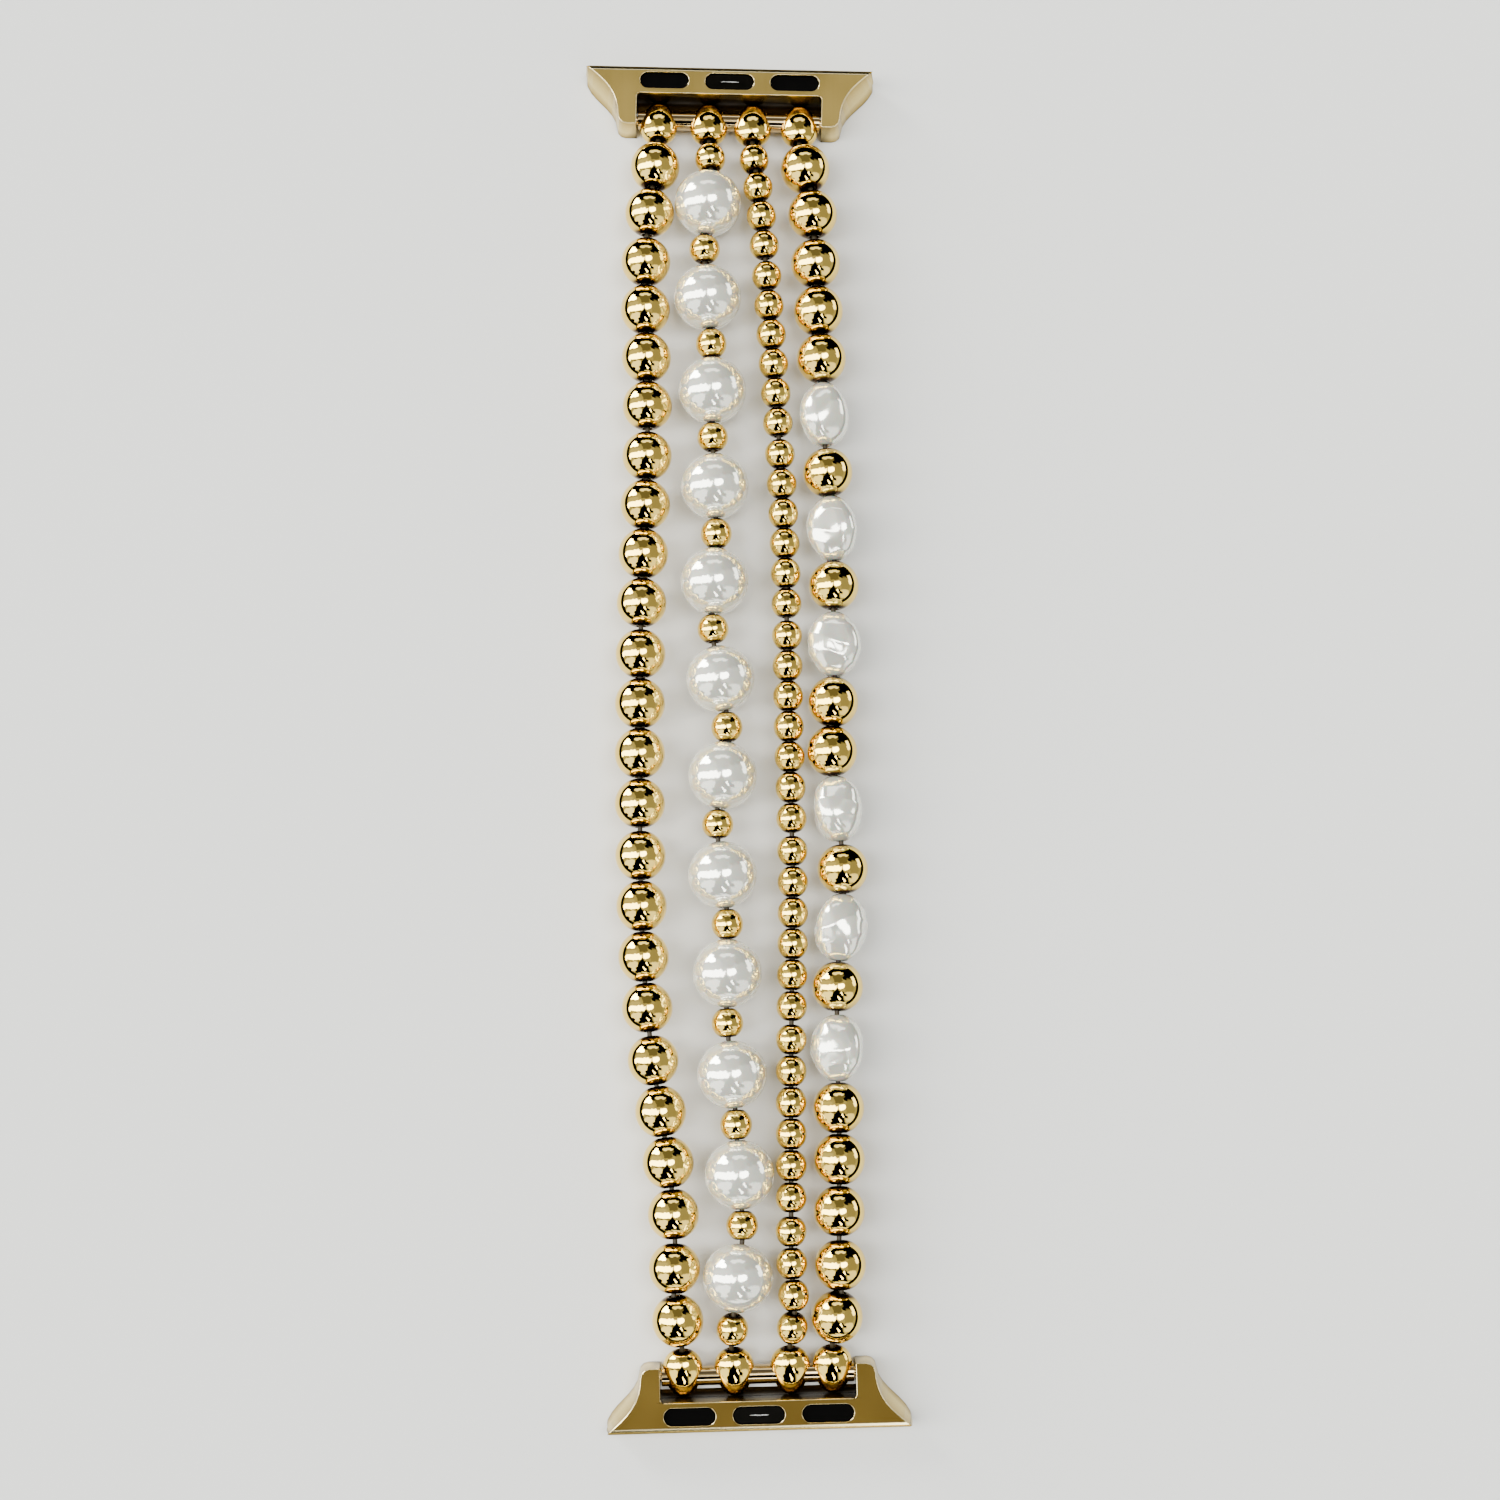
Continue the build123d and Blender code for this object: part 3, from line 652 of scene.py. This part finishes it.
nugget = {
    "width": 5.3, "height": 5.0, "rim": 0.72, "neck": 1.0, "lip": 0.12, "steps": 61, "sides": 80,
    # depth and turn of the two-lobed and the three-lobed lumps, from the top nugget down
    "lumps": ((0.05, 0.6, 0.04, 2.1), (0.04, 2.9, 0.05, 0.4), (0.06, 4.4, 0.03, 1.2),
              (0.05, 1.7, 0.05, 3.3), (0.04, 5.3, 0.04, 4.6), (0.06, 3.6, 0.03, 5.5)),
    "wrinkleDepths": (0.006, 0.020, 0.026, 0.018, 0.024, 0.018),
    # 2 is an oval; more flattens the top, the bottom and the sides
    "squareness": (2.1, 2.6, 2.5, 2.5, 2.6, 2.5), "slack": 0.97,
    "halfLength": 3.4, "fadeStart": 0.75, "fade": 0.5,     # millimetres; the lumps come in past this radius
    "foldTurns": 7, "foldPace": 0.85, "foldSharpness": 0.7, "foldShare": (0.55, 0.45),
    "foldSway": (1.6, 0.8),      # how far the folds bend aside, once and twice on their way round the bead
}


def nuggetSwell(number):
    # a squared oval, + two-lobed and three-lobed waves that twist along the bead, + sharp crossing folds,
    # all fading at the rims
    deepTwo, turnTwo, deepThree, turnThree = nugget["lumps"][number]
    wrinkle, power = nugget["wrinkleDepths"][number], nugget["squareness"][number]
    even, uneven = nugget["foldShare"]
    swayOnce, swayTwice = nugget["foldSway"]
    flat = nugget["height"] / nugget["width"]

    def swell(along, radius, turn):
        lean = np.arctan2(radius / (nugget["width"] * mm / 2), -along / (nugget["halfLength"] * mm))
        fade = np.clip((radius / mm - nugget["fadeStart"]) / nugget["fade"], 0, 1)
        lumps = deepTwo * np.cos(2 * turn + turnTwo + lean) + deepThree * np.cos(3 * turn - 2 * lean + turnThree)
        bent = nugget["foldTurns"] * lean + swayOnce * np.sin(turn + number)
        bent = bent + swayTwice * np.sin(2 * turn - 3 * lean + 2 * number)
        crossing = 4 * turn + 3 * lean + 2 * number
        creases = 1 - 2 * np.abs(np.sin(bent * nugget["foldPace"])) ** nugget["foldSharpness"]
        folds = creases * (even + uneven * np.sin(crossing))
        squared = (np.abs(np.cos(turn)) ** power + np.abs(np.sin(turn)) ** power) ** (-1 / power)
        sides = squared * np.sqrt(np.cos(turn) ** 2 + (flat * np.sin(turn)) ** 2) * nugget["slack"]
        return 1 + fade * (lumps + wrinkle * folds + sides - 1)

    return swell


def makeNuggets():
    count = 0
    for section in sections[1:-1]:
        nodeName = f"nugget_pearls_{section}"
        parts = len(beadPlaces[nodeName])
        beadPiece(f"lumpy_{nodeName}", nodeName, nugget, materials["nuggetPearl"],
                  [nuggetSwell(count + i) for i in range(parts)])
        count += parts


makeNuggets()
print("nuggets strung")


# Ends: each end's own axes, read from the joint that swings its adapter

def endAxes(end):
    # a point on the bar's axis, and unit vectors along the bar, towards the rail and up
    joint = next(j for j in frame["record"]["behaviour"]["joints"] if j["name"] == f"{end}_adapter_swing")
    along = np.array(joint["axis"], float)
    along /= np.linalg.norm(along)
    return np.array(joint["pos_m"], float), along, np.cross((0, 0, 1), along)


endBead = {
    # half sizes in millimetres: across, along the thread, up; how far the middle is ahead of the bar;
    # the front is wider than the rear by the lean, and under 1, fullness fills both ends past an oval's
    "across": 1.93, "along": 2.40, "up": 1.56, "ahead": 0.35, "lean": 0.17, "fullness": 0.86,
    "boreRadius": 1.0, "boreLength": 30, "steps": 72, "sides": 72, "sharpAngle": 35,
    # along the thread and radius of its hole, which opens out at the front
    "hole": ((1.2, 0.5), (2.25, 0.5), (2.5, 0.54), (2.64, 0.62), (2.73, 0.74), (3.0, 1.1)),
    # the painted shade round the hole fades between these radii, from this far ahead of the bar
    "neck": (0.66, 1.1), "neckStart": 1.2,
    # the corners past this share of the furthest one's reach from the bar lie round the thread's hole
    "frontShare": 0.9,
}


def roundShell(form, axes, seat):
    # an egg with a point at each pole, turned round the thread: along = ahead - half length * cos,
    # radius = half size * sin ** fullness * (1 - lean * cos)
    turnBy = np.linspace(0, math.pi, endBead["steps"] + 1)[1:-1]
    turn = np.linspace(0, 2 * math.pi, endBead["sides"], endpoint=False)[None, :]
    share = (np.sin(turnBy) ** form.get("fullness", 1) * (1 - form.get("lean", 0) * np.cos(turnBy)))[:, None]
    ahead = form.get("ahead", 0)
    along = ahead - form["along"] * np.cos(turnBy)[:, None] + 0 * turn
    grid = np.stack([form["across"] * share * np.cos(turn), along, form["up"] * share * np.sin(turn)], axis=-1)
    poles = [[0, ahead + way * form["along"], 0] for way in (-1, 1)]
    return closedTube(np.concatenate([grid.reshape(-1, 3), poles]), len(turnBy), axes, seat)


def holeShell(axes, seat):
    # the thread's hole: its profile carried round the thread
    profile = np.array(endBead["hole"])
    turn = np.linspace(0, 2 * math.pi, endBead["sides"], endpoint=False)[None, :]
    along, radius = profile[:, :1] + 0 * turn, profile[:, 1:]
    grid = np.stack([radius * np.cos(turn), along, radius * np.sin(turn)], axis=-1)
    ends = [[0, profile[0, 0], 0], [0, profile[-1, 0], 0]]
    return closedTube(np.concatenate([grid.reshape(-1, 3), ends]), len(profile), axes, seat)


def closedTube(points, rows, axes, seat):
    # rows of points with a fan of triangles to the two last points, set at a seat on the bar
    sides = endBead["sides"]
    ring, last = np.arange(sides), (rows - 1) * sides
    faces = gridFaces(rows, sides, False).tolist()
    faces += np.stack([ring, (ring + 1) % sides, np.full(sides, len(points) - 2)], axis=1).tolist()
    faces += np.stack([last + ring, last + (ring + 1) % sides, np.full(sides, len(points) - 1)], axis=1).tolist()
    return seat + points * mm @ axes, faces


def solidPiece(name, shells, material):
    # several closed shells as one mesh
    points, faces = [], []
    for shell, corners in shells:
        base = sum(len(p) for p in points)
        points.append(shell)
        faces += [[base + corner for corner in face] for face in corners]
    return meshObject(name, np.concatenate(points), faces, material)


def makeEndBeads(end):
    # each end bead is an egg with its wide end towards its strand, bored for the bar and the thread
    middle, bar, _ = endAxes(end)
    eggs, holes, fronts = [], [], []
    for part in looseParts(f"{end}_end_beads"):
        across = (part - middle) @ bar
        seat = middle + bar * (across.min() + across.max()) / 2
        radial = part - seat
        radial = radial - np.outer(radial @ bar, bar)
        reach = np.linalg.norm(radial, axis=1)
        front = radial[reach > endBead["frontShare"] * reach.max()].mean(axis=0)
        front /= np.linalg.norm(front)
        up = np.cross(front, bar)
        axes = np.array((bar, front, up * np.sign(up[2])))
        eggs.append(roundShell(endBead, axes, seat))
        holes.append(holeShell(axes, seat))
        fronts.append((seat, front))
    made = solidPiece(f"smooth_{end}_end_beads", eggs, materials["goldBead"])
    cutAway(made, solidPiece("holes", holes, materials["goldBead"]))
    cutAway(made, boreTool(middle, bar))
    made.data.set_sharp_from_angle(angle=math.radians(endBead["sharpAngle"]))
    shadeHoles(made, fronts)
    finishPiece(made, f"{end}_end_beads")


def shadeHoles(piece, fronts):
    # the attribute of painted shade round the holes, from each corner's distance to the nearest thread line, in
    # front of the bar only
    points = meshPoints(piece.data)
    near, far = endBead["neck"]
    shade = np.zeros(len(points))
    for seat, front in fronts:
        run = (points - seat) @ front / mm
        off = np.linalg.norm(points - seat - np.outer(run * mm, front), axis=1) / mm
        shade = np.maximum(shade, np.clip((far - off) / (far - near), 0, 1) * (run > endBead["neckStart"]))
    setMark(piece.data, "neck", shade)


def boreTool(middle, bar):
    # a long cylinder along the bar
    shape = bmesh.new()
    turned = Vector((0, 0, 1)).rotation_difference(Vector(bar)).to_matrix().to_4x4()
    radius = endBead["boreRadius"] * mm
    bmesh.ops.create_cone(shape, cap_ends=True, segments=endBead["sides"], radius1=radius, radius2=radius,
                          depth=endBead["boreLength"] * mm, matrix=Matrix.Translation(middle) @ turned)
    return placed("bore", meshFrom(shape, "bore"))


def cutAway(piece, tool):
    # the exact difference takes the place of the piece's mesh; the tool goes
    cut = piece.modifiers.new("cut", "BOOLEAN")
    cut.operation, cut.solver, cut.object = "DIFFERENCE", "EXACT", tool
    whole = piece.evaluated_get(bpy.context.evaluated_depsgraph_get())
    kept = bpy.data.meshes.new_from_object(whole)
    kept.name = piece.name
    piece.modifiers.clear()
    piece.data = kept
    bpy.data.objects.remove(tool)


# half sizes, distance from the bar and height in millimetres
latchMark = {"across": 0.05, "along": 0.95, "up": 0.05, "reach": 3.86, "height": 3.15}


def makeLatchMark(end):
    # a slim ridge on the latch button, which a fingernail finds
    middle, bar, toRail = endAxes(end)
    seat = middle + toRail * latchMark["reach"] * mm
    seat[2] = latchMark["height"] * mm
    axes = np.array((toRail, bar, (0, 0, 1.0)))
    made = solidPiece(f"{end}_latch_mark", [roundShell(latchMark, axes, seat)], materials["springSteel"])
    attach(made, frame["nodes"][f"{end}_latch_button"]["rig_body"])


for end in ("top", "bottom"):
    makeEndBeads(end)
    makeLatchMark(end)
print("end beads set on the bars")


# Adapters, pads, latches and bars

sharpAngle, flatAngle = 22, 0.5      # degrees: edges that are rounded, and creases that are merged away
edges = {
    # width of the rounding in millimetres, and its segments
    "adapter_body": {"round": 0.08, "segments": 3, "material": "adapterGold{End}", "slot": "adapter_metal"},
    "rubber_pads": {"round": 0.08, "segments": 2, "material": "rubberPad", "slot": "rubber_pad"},
    "latch_button": {"round": 0.08, "segments": 2, "material": "latchBlack", "slot": "latch_metal"},
    "bar_tube": {"round": 0.06, "segments": 2, "material": "barGold", "slot": "bar_metal"},
}
# millimetres from the bar's middle, and up from the table: where the recess's painted shade lies
recess = {"halfWidth": 9.68, "wall": 2.46, "top": 3.1}
railLine = 5.15


def markPlaces(mesh, end):
    # painted shade of the recess: 1 on the corners between the ears, behind the bar's wall and below the face;
    # rail: 1 past its line
    middle, bar, toRail = endAxes(end)
    points = meshPoints(mesh)
    across, out, up = (points - middle) @ bar / mm, (points - middle) @ toRail / mm, points[:, 2] / mm
    inside = (np.abs(across) < recess["halfWidth"]) & (out < recess["wall"]) & (up < recess["top"])
    setMark(mesh, "recess", inside)
    setMark(mesh, "rail", out > railLine)


def roundedCopy(end, part, style):
    # the CAD piece with its triangles merged into smooth faces and its edges rounded
    nodeName = f"{end}_{part}"
    shape = weldedShape(nodeName)
    bmesh.ops.dissolve_limit(shape, angle_limit=math.radians(flatAngle), verts=shape.verts, edges=shape.edges)
    made = smoothCopy(shape, f"rounded_{nodeName}", style["material"].format(End=end.capitalize()), sharpAngle)
    if part == "adapter_body":
        markPlaces(made.data, end)
    bevel = made.modifiers.new("edges", "BEVEL")
    bevel.limit_method, bevel.angle_limit, bevel.use_clamp_overlap = "ANGLE", math.radians(sharpAngle), False
    bevel.width, bevel.segments, bevel.harden_normals = style["round"] * mm, style["segments"], True
    finishPiece(made, nodeName)


for end in ("top", "bottom"):
    for part, style in edges.items():
        roundedCopy(end, part, style)
print("adapters, pads, latches and bars rounded")


# Threads

cord = {
    # millimetres: the cord's radius, how far a run stays inside its bead at a bend, and half a span round each
    # link's middle
    "radius": 0.25, "tuck": 0.28, "bendSpan": 0.2,
    "sides": 16, "linkRings": 13,
}


def threadLines(section):
    # the middles of the square CAD tubes' rings, from the top down, for each strand from left to right
    lines = []
    for part in looseParts(f"elastic_threads_{section}"):
        run = part[part[:, 1].argmax()] - part[part[:, 1].argmin()]
        lines.append(part[np.argsort(-(part @ run))].reshape(-1, 4, 3).mean(axis=1))
    return sorted(lines, key=lambda line: line[:, 0].mean())


def tube(line):
    # a circle carried along the line, square to the mean of the runs that meet at each point
    runs = np.diff(line, axis=0)
    runs /= np.linalg.norm(runs, axis=1)[:, None]
    heading = np.concatenate([runs[:1], runs[:-1] + runs[1:], runs[-1:]])
    heading /= np.linalg.norm(heading, axis=1)[:, None]
    side = np.cross(heading, (0, 0, 1))
    side /= np.linalg.norm(side, axis=1)[:, None]
    up = np.cross(side, heading)
    turn = np.linspace(0, 2 * math.pi, cord["sides"], endpoint=False)
    circle = np.cos(turn)[None, :, None] * side[:, None, :] + np.sin(turn)[None, :, None] * up[:, None, :]
    return (line[:, None, :] + circle * cord["radius"] * mm).reshape(-1, 3)


def cordPiece(name, lines):
    # a tube along each line, closed at both ends
    points, faces = [], []
    for line in lines:
        base = sum(len(p) for p in points)
        ring = np.arange(cord["sides"])
        points.append(tube(line))
        faces += (gridFaces(len(line), cord["sides"], False) + base).tolist()
        faces += [(base + ring).tolist(), (base + (len(line) - 1) * cord["sides"] + ring).tolist()]
    return meshObject(name, np.concatenate(points), faces, materials["elasticCord"])


def tucked(line, first, last):
    # the line with an end drawn back into its bead where the thread crosses a bend there
    line = line.copy()
    for flag, end, inner in ((first, 0, 1), (last, -1, -2)):
        if flag:
            step = line[inner] - line[end]
            line[end] += step / np.linalg.norm(step) * cord["tuck"] * mm
    return line


def makeThreads():
    # a run of thread rides on each section, and a short straight link crosses each gap where the band bends
    runs = {}
    for section in sections:
        runs[section] = [tucked(line, section > sections[0], section < sections[-1])
                         for line in threadLines(section)]
        made = cordPiece(f"thread_run_{section}", runs[section])
        finishPiece(made, f"elastic_threads_{section}")
    steps = np.linspace(0, 1, cord["linkRings"])[:, None]
    for section in sections[:-1]:
        for strand, (above, below) in enumerate(zip(runs[section], runs[section + 1])):
            upper, lower = above[-1], below[0]
            link = cordPiece(f"thread_link_{section}_{strand + 1}", [upper + (lower - upper) * steps])
            middle, way = (upper + lower) / 2, (lower - upper) / np.linalg.norm(lower - upper)
            reach = way * cord["bendSpan"] * mm
            f"section_{section + 1}"
            tuple(middle - reach)
            tuple(middle + reach)
            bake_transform(link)


makeThreads()
print("threads run through the strands")


# Springs and bar tips

leafSharpAngle = 30      # degrees


def dress(nodeName, material):
    # the CAD piece stays as it is, with the material in its slot
    mesh = frame["nodes"][nodeName].data
    mesh.materials.clear()
    mesh.materials.append(materials[material])


def makeLeafSpring(end):
    # the CAD's leaf spring with smooth faces, in place of the CAD piece
    nodeName = f"{end}_latch_spring"
    made = smoothCopy(weldedShape(nodeName), f"{end}_leaf_spring", "springSteel", leafSharpAngle)
    points = meshPoints(made.data)
    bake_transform(made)
    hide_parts(nodeName)


for end in ("top", "bottom"):
    makeLeafSpring(end)
    dress(f"{end}_bar_spring", "springSteel")
    dress(f"{end}_bar_tip_left", "barGold")
    dress(f"{end}_bar_tip_right", "barGold")
print("carried-over pieces dressed")
